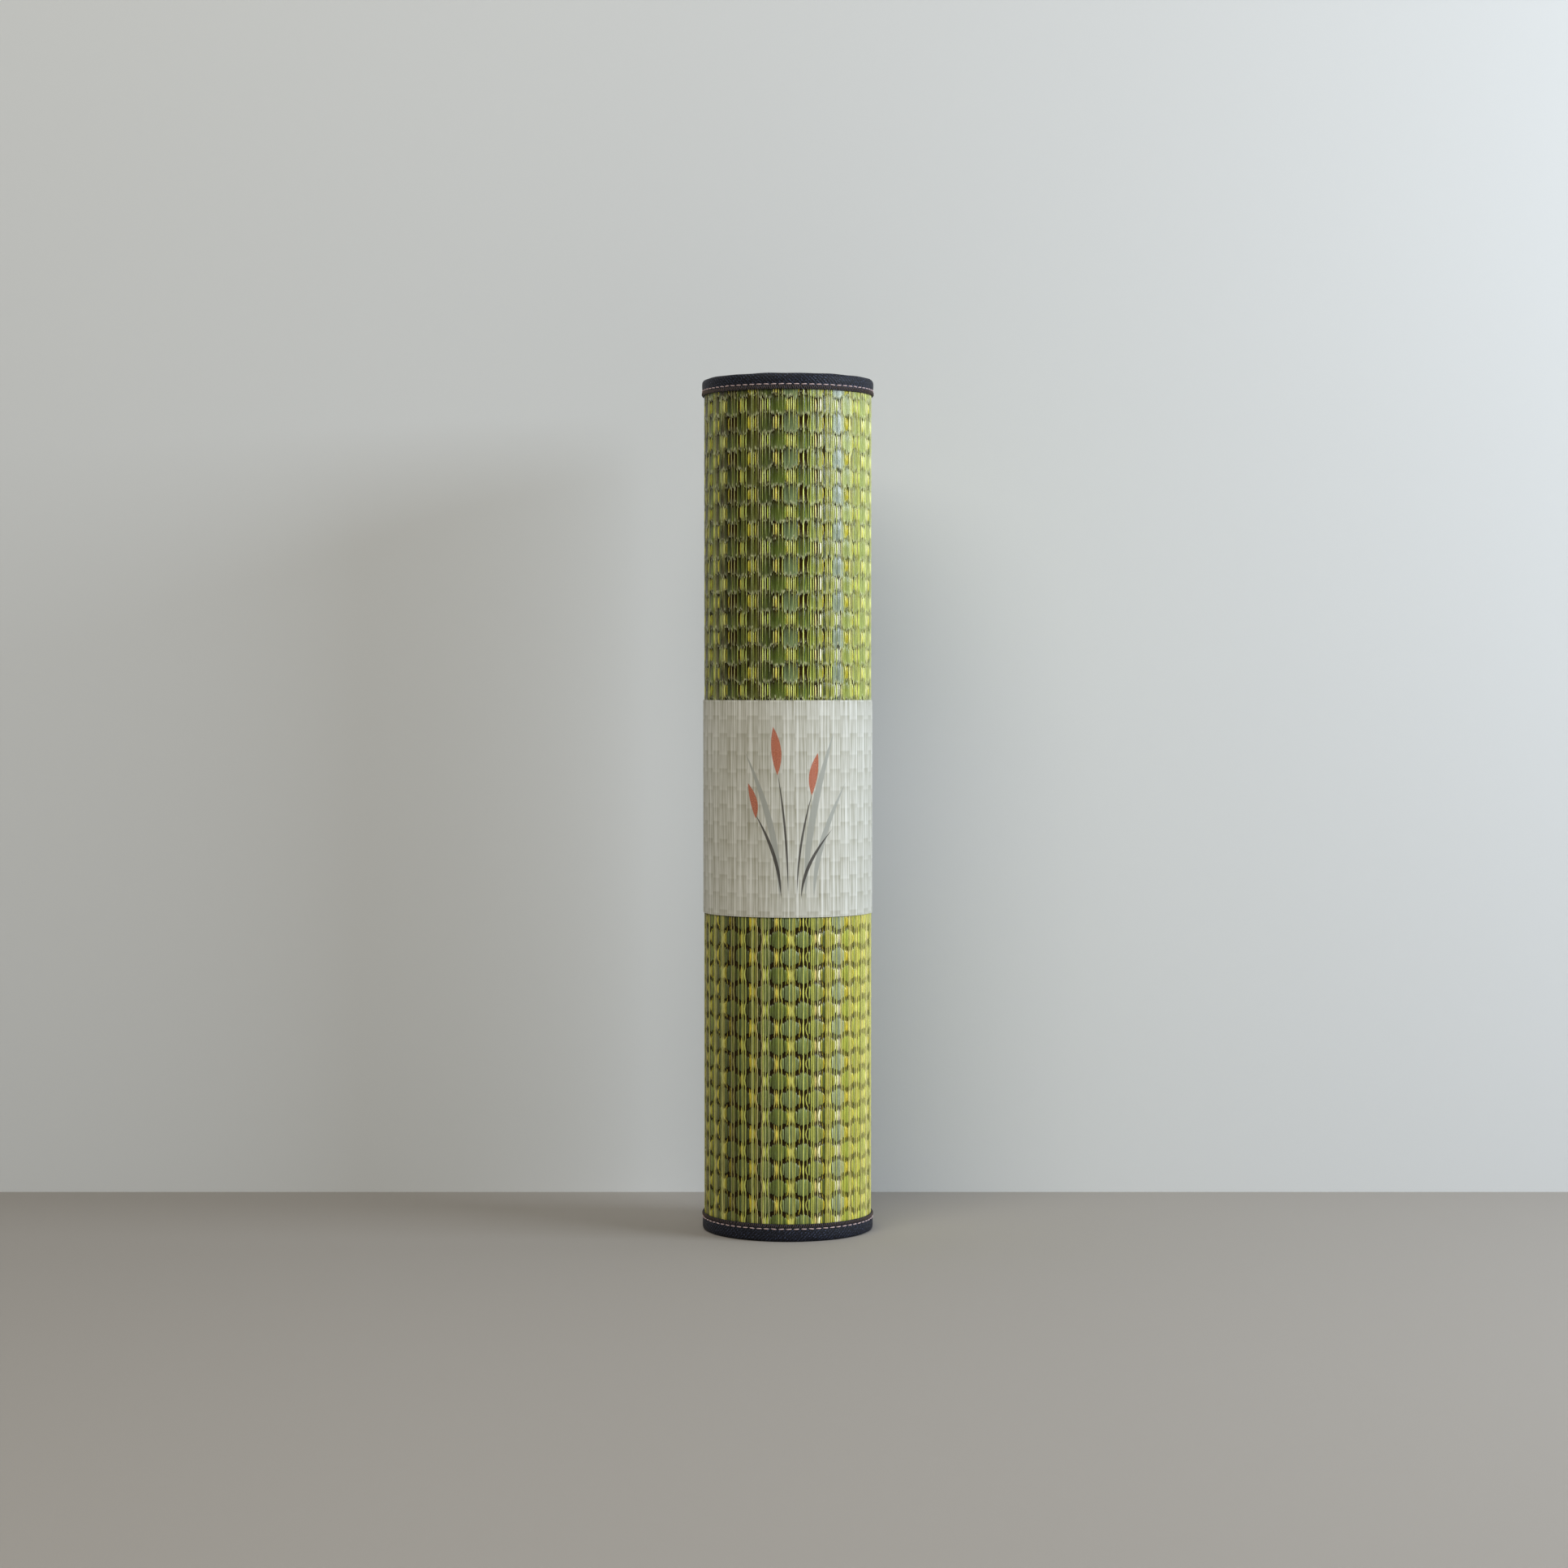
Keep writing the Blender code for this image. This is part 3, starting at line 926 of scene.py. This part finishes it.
def tape_profile(seam):
    """Corners of the tape as (depth, inset), for a seam at an inset from the mat's edge."""
    lip = [(depth * MM, seam + past * MM) for depth, past in LIP_LEG]
    lip_tip = (LIP_TIP[0] * MM, seam + LIP_TIP[1] * MM)
    fold_out = half_round(*(size * MM for size in OUTER_FOLD))
    fold_in = half_round(*(size * MM for size in INNER_FOLD))
    outside = lip + in_metres(OUTER_LEG) + fold_out + in_metres(INNER_LEG)
    return outside + in_metres(INNER_TIP) + fold_in[::-1] + [lip_tip]


def ripple(length):
    """Slight waves that sewing leaves in the folded edge."""
    short_wave = math.sin(2 * math.pi * length / SHORT_RIPPLE)
    long_wave = math.sin(2 * math.pi * length / LONG_RIPPLE + 1)
    return RIPPLE_HEIGHT * (short_wave + long_wave)


def bottom_ripple(length, height):
    """Waves of the lower edge, which leave the corners that it stands on flat."""
    share = np.clip(1 - height / BINDING_WIDTH, 0, 1) * (height > STANDING_HEIGHT)
    return height + ripple(length + BOTTOM_SHIFT) * share


def top_ripple(length, height):
    return height + ripple(length) * np.clip(1 - (MAT_WIDTH - height) / BINDING_WIDTH, 0, 1)


top_section = [(depth, MAT_WIDTH - inset) for depth, inset in tape_profile(TOP_SEAM)]
bottom_section = tape_profile(BOTTOM_SEAM)
for name, section, wave, node in (
    ("top_denim", top_section, top_ripple, "top_edge_binding"),
    ("bottom_denim", bottom_section, bottom_ripple, "bottom_edge_binding"),
):
    mesh = wound(name, section, 0, MAT_LENGTH, denim_look, FOLD_SHARP, wave)
    piece = keep(mesh, "mat_roll", "navy_denim", node)

# %% [markdown]
# The short ends have the same tape, standing upright between the two long ones. One lies at the back
# of the roll, the other in its eye.

# %% End bindings
END_STEPS = 60
END_LOW = BINDING_WIDTH + LAYER_GAP
END_HIGH = MAT_WIDTH - BINDING_WIDTH - LAYER_GAP
end_heights = np.linspace(END_LOW, END_HIGH, END_STEPS)
end_section = tape_profile(END_SEAM)
depths, insets = np.array(end_section).T
for name, end_lengths, node in (
    ("outer_end_denim", insets, "outer_end_binding"),
    ("inner_end_denim", MAT_LENGTH - insets, "inner_end_binding"),
):
    rings = [place(end_lengths, depths, height) for height in end_heights]
    mesh = strip(name, rings, end_heights, perimeter(end_section), denim_look, FOLD_SHARP)
    piece = keep(mesh, "mat_roll", "navy_denim", node)

# %% [markdown]
# ### Stitches and overlocking
# A stitch is a short thread that dips into the cloth at both ends. The overlock is a row of slanting
# threads over the tape's raw edge. Only the outer turn, the loose end and the eye show them.

# %% Sew
THREAD_POINTS = 5
STITCH_PITCH = 5 * MM
STITCH_LENGTH = 3.7 * MM
STITCH_HALF = 0.4 * MM
STITCH_TILT = 0.12 * MM
LOCK_PITCH = 1.4 * MM
LOCK_HALF = 0.3 * MM
LOCK_REACH = np.linspace(0.7, 3.4, THREAD_POINTS) * MM
LOCK_LEAN = 1.0 * MM
LEAN_UNEVEN = 0.15 * MM
EYE_SEWN = 130 * MM
DIP = np.array([0.45, 0.05, 0, 0.05, 0.45]) * MM
THINNING = np.array([0.5, 0.95, 1, 0.95, 0.5])
STITCH_DEPTHS = -1.0 * MM + DIP
EYE_DEPTHS = 3.85 * MM - DIP
LOCK_DEPTHS = -1.15 * MM + 0.8 * DIP


def stitch(at, seam):
    """Places along the seam and their insets, for the points of one stitch."""
    tilt = random.normal(0, STITCH_TILT)
    along = at + np.linspace(-0.5, 0.5, THREAD_POINTS) * STITCH_LENGTH
    return along, seam + np.linspace(-tilt, tilt, THREAD_POINTS)


def lock(at, seam):
    """The same for one slanting thread of the overlock."""
    lean = random.normal(LOCK_LEAN, LEAN_UNEVEN)
    return at + np.linspace(0, lean, THREAD_POINTS), seam + LOCK_REACH


def at_top(along, depth, inset):
    return place(along, depth, MAT_WIDTH - inset)


def at_bottom(along, depth, inset):
    return place(along, depth, inset)


def at_loose_end(along, depth, inset):
    return place(inset, depth, along)


def sew(name, kind, seam, put, depth, start, stop):
    """A row of threads of one kind beside a seam; put places one at its edge of the mat."""
    thread, pitch, half_width, look = kind
    paths = []
    for at in np.arange(start, stop, pitch):
        along, inset = thread(at, seam)
        paths.append(put(along, depth, inset))
    keep(threads(name, paths, [THINNING * half_width] * len(paths), look), "mat_roll", "navy_denim")


stitches = (stitch, STITCH_PITCH, STITCH_HALF, stitch_look)
locks = (lock, LOCK_PITCH, LOCK_HALF, overlock_look)
outer_turn = (BINDING_WIDTH, ONE_TURN)
upright = (END_LOW, END_HIGH)
in_the_eye = (MAT_LENGTH - EYE_SEWN, MAT_LENGTH - BINDING_WIDTH)
sew("top_stitches", stitches, TOP_SEAM, at_top, STITCH_DEPTHS, *outer_turn)
sew("bottom_stitches", stitches, BOTTOM_SEAM, at_bottom, STITCH_DEPTHS, *outer_turn)
sew("loose_end_stitches", stitches, END_SEAM, at_loose_end, STITCH_DEPTHS, *upright)
sew("eye_stitches", stitches, TOP_SEAM, at_top, EYE_DEPTHS, *in_the_eye)
sew("top_overlock", locks, TOP_SEAM, at_top, LOCK_DEPTHS, *outer_turn)
sew("bottom_overlock", locks, BOTTOM_SEAM, at_bottom, LOCK_DEPTHS, *outer_turn)
sew("loose_end_overlock", locks, END_SEAM, at_loose_end, LOCK_DEPTHS, *upright)

# %% [markdown]
# ## The paper band
# The band is thin off-white paper, pulled tight, so in plan it takes the outline of the roll with a
# straight stretch over the step at the loose end. Its ends lap at the back, held by tape.

# %% Band path
BAND_HEIGHT = 150 * MM
BAND_THICKNESS = 0.2 * MM
BAND_LOW = MAT_WIDTH / 2 - BAND_HEIGHT / 2
LAP_DIRECTION = math.radians(124)
LAP_LENGTH = 19 * MM
LAP_RISE = 0.75 * MM
LAP_RAMP = 8 * MM
PATH_STEP = 1.5 * MM
BAND_EASE = 0.35 * MM
OUTLINE_STEPS = 400

first_turn = np.linspace(0, ONE_TURN, OUTLINE_STEPS)
outline = [Vector(point[:2]) for point in place(first_turn, 0, 0)]
outline += [Vector(point[:2]) for point in place(insets, depths, 0)]
hull = [outline[index] for index in convex_hull_2d(outline)]
hull.sort(key=lambda point: (math.atan2(point.y, point.x) - LAP_DIRECTION) % (2 * math.pi))
ring = np.array([point * (1 + BAND_EASE / point.length) for point in hull])
looped = np.concatenate([ring, ring[:1]])
far = np.concatenate([[0], np.cumsum(np.linalg.norm(np.diff(looped, axis=0), axis=1))])
band_round = far[-1]
band_along = np.arange(0, band_round + LAP_LENGTH, PATH_STEP)


def band_place(along):
    """Places in plan at lengths along the band, which goes round more than once where it laps."""
    return np.column_stack([np.interp(along % band_round, far, looped[:, axis]) for axis in (0, 1)])


def wrapped(name, along, rise, thickness, levels, look, sharp):
    """A thin upright strip on the band's path, lifted outwards by one rise or one at each length."""
    plan = band_place(along)
    outwards = plan / np.linalg.norm(plan, axis=1)[:, None]
    lift = np.reshape(rise, (-1, 1))
    rings = []
    for outer, inner in zip(plan + outwards * (lift + thickness), plan + outwards * lift):
        outside = [(*outer, level) for level in levels]
        inside = [(*inner, level) for level in reversed(levels)]
        rings.append(outside + inside)
    return strip(name, rings, along, [*levels, *reversed(levels)], look, sharp)


lap_rise = LAP_RISE * np.clip((band_along - band_round + LAP_RAMP) / LAP_RAMP, 0, 1)
band_front = float(band_along[np.argmin(band_place(band_along)[:, 1])])
print(f"band {band_along[-1] * 1000:.0f} mm long, of which {LAP_LENGTH * 1000:.0f} mm laps")

# %% [markdown]
# ### Paper
# Thin uncoated paper is matt and lets a little of what lies under it through. The show-through is
# drawn with the weave's own sizes: fine upright streaks for the stems, and a soft chequer for the
# cells. The print is a plain one in copper red, charcoal and grey: a clump of reeds with three seed
# heads. Every blade and head is the same shape, a lens about a leaning parabola.

# %% Paper material
STEM_STREAK = 0.9 * MM
STREAK_RUN = 45 * MM
PALE_LINE_STEP = 2.2 * MM
CELL_WEIGHT = 0.25
LINE_WEIGHT = 0.22
COLUMN_SHIFT = 0.5 + FRONT_LEAD * OUTER_RADIUS / COLUMN
paper_look, paper_shader = start_look("thin_uncoated_paper", 0.75)
paper_along, paper_up, paper_flat = cloth_place(paper_look)
stem_space = add(
    paper_look,
    "ShaderNodeMapping",
    {"Vector": paper_flat, "Scale": (1 / STEM_STREAK, 1 / STREAK_RUN, 1)},
)
stem_bars = add(
    paper_look,
    "ShaderNodeTexNoise",
    {"Vector": stem_space.outputs["Vector"], "Scale": 1, "Detail": 2, "Roughness": 0.6},
    noise_dimensions="2D",
)
line_noise = add(
    paper_look,
    "ShaderNodeTexNoise",
    {"W": paper_along, "Scale": 1 / PALE_LINE_STEP, "Detail": 0},
    noise_dimensions="1D",
)
pale_lines = add(
    paper_look,
    "ShaderNodeMapRange",
    {"Value": line_noise.outputs["Fac"], "From Min": 0.6, "From Max": 0.7},
)
column_place = add(
    paper_look,
    "ShaderNodeMath",
    {0: paper_along, 1: 1 / COLUMN, 2: COLUMN_SHIFT - band_front / COLUMN},
    operation="MULTIPLY_ADD",
)
column_number = add(paper_look, "ShaderNodeMath", {0: column_place.outputs[0]}, operation="FLOOR")
cell_place = add(
    paper_look,
    "ShaderNodeMath",
    {0: paper_up, 1: 1 / REPEAT, 2: 0.5 - FIRST_CELL / REPEAT},
    operation="MULTIPLY_ADD",
)
cell_turn = add(
    paper_look,
    "ShaderNodeMath",
    {0: column_number.outputs[0], 1: 0.5, 2: cell_place.outputs[0]},
    operation="MULTIPLY_ADD",
)
cell_share = add(paper_look, "ShaderNodeMath", {0: cell_turn.outputs[0]}, operation="FRACT")
float_shade = add(paper_look, "ShaderNodeValToRGB", {"Fac": cell_share.outputs[0]})
float_stops = float_shade.color_ramp.elements
float_stops[0].color = (0.5, 0.5, 0.5, 1)
float_stops[1].color = (0.5, 0.5, 0.5, 1)
for share, shade in ((0.17, 0.3), (0.21, 0.75), (0.3, 0.55), (0.6, 0.45), (0.78, 0.05), (0.82, 0.65)):
    float_stops.new(share).color = (shade, shade, shade, 1)
bars_and_cells = add(
    paper_look,
    "ShaderNodeMath",
    {0: float_shade.outputs["Color"], 1: CELL_WEIGHT, 2: stem_bars.outputs["Fac"]},
    operation="MULTIPLY_ADD",
)
show = add(
    paper_look,
    "ShaderNodeMath",
    {0: pale_lines.outputs["Result"], 1: LINE_WEIGHT, 2: bars_and_cells.outputs[0]},
    operation="MULTIPLY_ADD",
)
show_range = add(
    paper_look,
    "ShaderNodeMapRange",
    {"Value": show.outputs[0], "From Min": 0.36, "From Max": 0.92},
)
paper_colour = add(
    paper_look,
    "ShaderNodeMix",
    {"Factor": show_range.outputs["Result"], 6: linear("a29e8b"), 7: linear("e6e5de")},
    data_type="RGBA",
)

# %% Reed print
PRINT_EDGE = 0.3 * MM
INK_CLEARNESS = 0.1
GLITTER = 0.6 * MM


def blade(foot_along, foot_up, tall, lean, half_width):
    """How far inside a blade a point of the paper lies, in metres; less than 0 is outside."""
    rise = add(
        paper_look,
        "ShaderNodeMath",
        {0: paper_up, 1: 1 / tall, 2: -(BAND_LOW + foot_up) / tall},
        operation="MULTIPLY_ADD",
    ).outputs[0]
    bend = add(paper_look, "ShaderNodeMath", {0: rise, 1: rise}, operation="MULTIPLY").outputs[0]
    middle = add(
        paper_look,
        "ShaderNodeMath",
        {0: bend, 1: lean, 2: band_front + foot_along},
        operation="MULTIPLY_ADD",
    ).outputs[0]
    aside = add(
        paper_look, "ShaderNodeMath", {0: paper_along, 1: middle}, operation="SUBTRACT"
    ).outputs[0]
    off = add(paper_look, "ShaderNodeMath", {0: aside}, operation="ABSOLUTE").outputs[0]
    lens = add(paper_look, "ShaderNodeMath", {0: rise, 1: bend}, operation="SUBTRACT").outputs[0]
    wide = add(
        paper_look, "ShaderNodeMath", {0: lens, 1: 4 * half_width}, operation="MULTIPLY"
    ).outputs[0]
    return add(paper_look, "ShaderNodeMath", {0: wide, 1: off}, operation="SUBTRACT").outputs[0]


def ink(under, colour, blades):
    """Prints blades of one ink over a colour of the paper; the streaks show in the ink."""
    inside, *others = [blade(*(size * MM for size in sizes)) for sizes in blades]
    for other in others:
        both = {0: inside, 1: other}
        inside = add(paper_look, "ShaderNodeMath", both, operation="MAXIMUM").outputs[0]
    mask = add(paper_look, "ShaderNodeMapRange", {"Value": inside, "From Max": PRINT_EDGE})
    layer = add(
        paper_look,
        "ShaderNodeMix",
        {"Factor": INK_CLEARNESS, 6: colour, 7: under},
        data_type="RGBA",
    )
    print_over = add(
        paper_look,
        "ShaderNodeMix",
        {"Factor": mask.outputs["Result"], 6: under, 7: layer.outputs[2]},
        data_type="RGBA",
    )
    return print_over.outputs[2]


# In mm: foot along the band from its front, foot above its edge, height, lean, half-width
grey_blades = [
    (12, 12, 118, 22, 2.6),
    (-6, 12, 104, -26, 2.4),
    (18, 12, 82, 26, 2.2),
]
dark_blades = [
    (0, 12, 92, -8, 0.9),
    (6, 12, 78, 12, 0.9),
    (-5, 12, 62, -20, 1.4),
    (9, 12, 50, 24, 1.4),
]
red_heads = [
    (-7.5, 98, 34, -3, 3.6),
    (16.5, 84, 30, 4.5, 3.2),
    (-23, 68, 25, -6, 2.8),
]
glitter = add(
    paper_look,
    "ShaderNodeTexNoise",
    {"Vector": paper_flat, "Scale": 1 / GLITTER, "Detail": 2, "Roughness": 0.7},
)
glitter_range = add(
    paper_look,
    "ShaderNodeMapRange",
    {"Value": glitter.outputs["Fac"], "From Min": 0.38, "From Max": 0.72},
)
copper = add(
    paper_look,
    "ShaderNodeMix",
    {"Factor": glitter_range.outputs["Result"], 6: linear("963a22"), 7: linear("e88c62")},
    data_type="RGBA",
)
printed = ink(paper_colour.outputs[2], linear("a5a69f"), grey_blades)
printed = ink(printed, linear("352f2b"), dark_blades)
printed = ink(printed, copper.outputs[2], red_heads)
join(paper_look, printed, paper_shader, "Base Color")
paper_bump = add(
    paper_look,
    "ShaderNodeBump",
    {"Height": show.outputs[0], "Strength": 0.12, "Distance": 0.3 * MM},
)
join(paper_look, paper_bump.outputs["Normal"], paper_shader, "Normal")
print(len(grey_blades + dark_blades), "blades and", len(red_heads), "seed heads printed")

# %% Wrap the band
BAND_ROWS = 12
BAND_SHARP = 60
levels = np.linspace(BAND_LOW, BAND_LOW + BAND_HEIGHT, BAND_ROWS)
band_mesh = wrapped("paper_band", band_along, lap_rise, BAND_THICKNESS, levels, paper_look, BAND_SHARP)
band_piece = keep(band_mesh, "band", "band_paper", "wrap_band")

# %% [markdown]
# A strip of double-sided tape lies in the lap, between the two ends of the paper. It is a clear
# yellowish film with a slight gloss. The fine wrinkles from being pressed down are painted into its
# colour as light and shade.

# %% Band tape
TAPE_RISE = 0.4 * MM
TAPE_THICKNESS = 0.2 * MM
TAPE_SIDE_MARGIN = 2 * MM
TAPE_END_MARGIN = 6 * MM
TAPE_SHARP = 40
WRINKLE = 3 * MM
film_look, film_shader = start_look("adhesive_film", 0.35)
film_flat = cloth_place(film_look)[2]
wrinkle_shading = add(
    film_look,
    "ShaderNodeTexNoise",
    {"Vector": film_flat, "Scale": 1 / WRINKLE, "Detail": 3},
)
film_colour = add(
    film_look,
    "ShaderNodeMix",
    {"Factor": wrinkle_shading.outputs["Fac"], 6: linear("cfc79e"), 7: linear("e4dfc6")},
    data_type="RGBA",
)
join(film_look, film_colour.outputs[2], film_shader, "Base Color")
tape_steps = np.arange(TAPE_SIDE_MARGIN, LAP_LENGTH - TAPE_SIDE_MARGIN, PATH_STEP)
tape_low = BAND_LOW + TAPE_END_MARGIN
tape_high = BAND_LOW + BAND_HEIGHT - TAPE_END_MARGIN
edges = (tape_low, tape_high)
film_mesh = wrapped("lap_tape", tape_steps, TAPE_RISE, TAPE_THICKNESS, edges, film_look, TAPE_SHARP)
film_piece = keep(film_mesh, "band", "clear_tape", "band_tape")

# %% [markdown]
# ## Camera, stage and light
# The camera stands a little over two metres away, not far above the middle of the roll, and looks very
# slightly down. The floor and the wall behind are plain and pale. The wall is clear from its far side,
# so that views from behind see past it. A cool window at the right and a warm room light from the
# front left give the roll its soft shading.

# %% Camera
PICTURE_SIDE = 1932
FOCAL_PIXELS = 3900
CAMERA_PLACE = (-0.004, -2.24, 0.382)
LOOKING_DOWN = 1.7
camera_data = bpy.data.cameras.new("camera")
camera_data.sensor_width = 36
camera_data.lens = FOCAL_PIXELS / PICTURE_SIDE * camera_data.sensor_width
camera = bpy.data.objects.new("camera", camera_data)
camera.location = CAMERA_PLACE
camera.rotation_euler = (math.radians(90 - LOOKING_DOWN), 0, 0)
scene.collection.objects.link(camera)
scene.camera = camera
scene.view_settings.view_transform = "Standard"
print(f"camera lens {camera_data.lens:.1f} mm")

# %% Stage
WALL_BEHIND = 0.16
STAGE_SIDE = 6


def plain_look(name, code, one_sided):
    look, shader = start_look(name, 0.9)
    shader.inputs["Base Color"].default_value = linear(code)
    if one_sided:
        facing = add(look, "ShaderNodeNewGeometry")
        clear = add(look, "ShaderNodeBsdfTransparent")
        chosen = add(
            look,
            "ShaderNodeMixShader",
            {0: facing.outputs["Backfacing"], 1: shader.outputs[0], 2: clear.outputs[0]},
        )
        join(look, chosen.outputs[0], look.node_tree.nodes["Material Output"], "Surface")
    return look


def stage_sheet(name, turn, move, look):
    maker = bmesh.new()
    bmesh.ops.create_grid(maker, x_segments=1, y_segments=1, size=STAGE_SIDE / 2)
    mesh = bpy.data.meshes.new(name)
    maker.to_mesh(mesh)
    maker.free()
    mesh.materials.append(look)
    sheet = bpy.data.objects.new(name, mesh)
    sheet.rotation_euler = turn
    sheet.location = move
    scene.collection.objects.link(sheet)


stage_sheet("floor", (0, 0, 0), (0, 0, 0), plain_look("painted_floor", "9d9792", False))
stage_sheet(
    "backdrop",
    (math.radians(90), 0, 0),
    (0, WALL_BEHIND, STAGE_SIDE / 2),
    plain_look("painted_wall", "d7d8da", True),
)
print("floor and wall are up")

# %% Light
SKY_STRENGTH = 0.15


def soft_light(name, place_at, aim, wide, tall, watts, tint):
    data = bpy.data.lights.new(name, "AREA")
    data.shape = "RECTANGLE"
    data.size = wide
    data.size_y = tall
    data.energy = watts
    data.color = tint
    lamp = bpy.data.objects.new(name, data)
    lamp.location = place_at
    lamp.rotation_euler = (Vector(aim) - Vector(place_at)).to_track_quat("-Z", "Y").to_euler()
    scene.collection.objects.link(lamp)


soft_light("window", (1.9, -0.72, 1.02), (0, 0, 0.5), wide=1.2, tall=0.6, watts=35, tint=(0.89, 1, 1.1))
soft_light("room", (-0.7, -2.3, 2.7), (0, 0, 0.3), wide=2.5, tall=2.0, watts=61, tint=(1.03, 1, 0.88))
world = bpy.data.worlds.new("room")
world.use_nodes = True
sky = world.node_tree.nodes["Background"].inputs
sky["Color"].default_value = linear("dcdcd8")
sky["Strength"].default_value = SKY_STRENGTH
scene.world = world
print("two lamps and a faint sky")
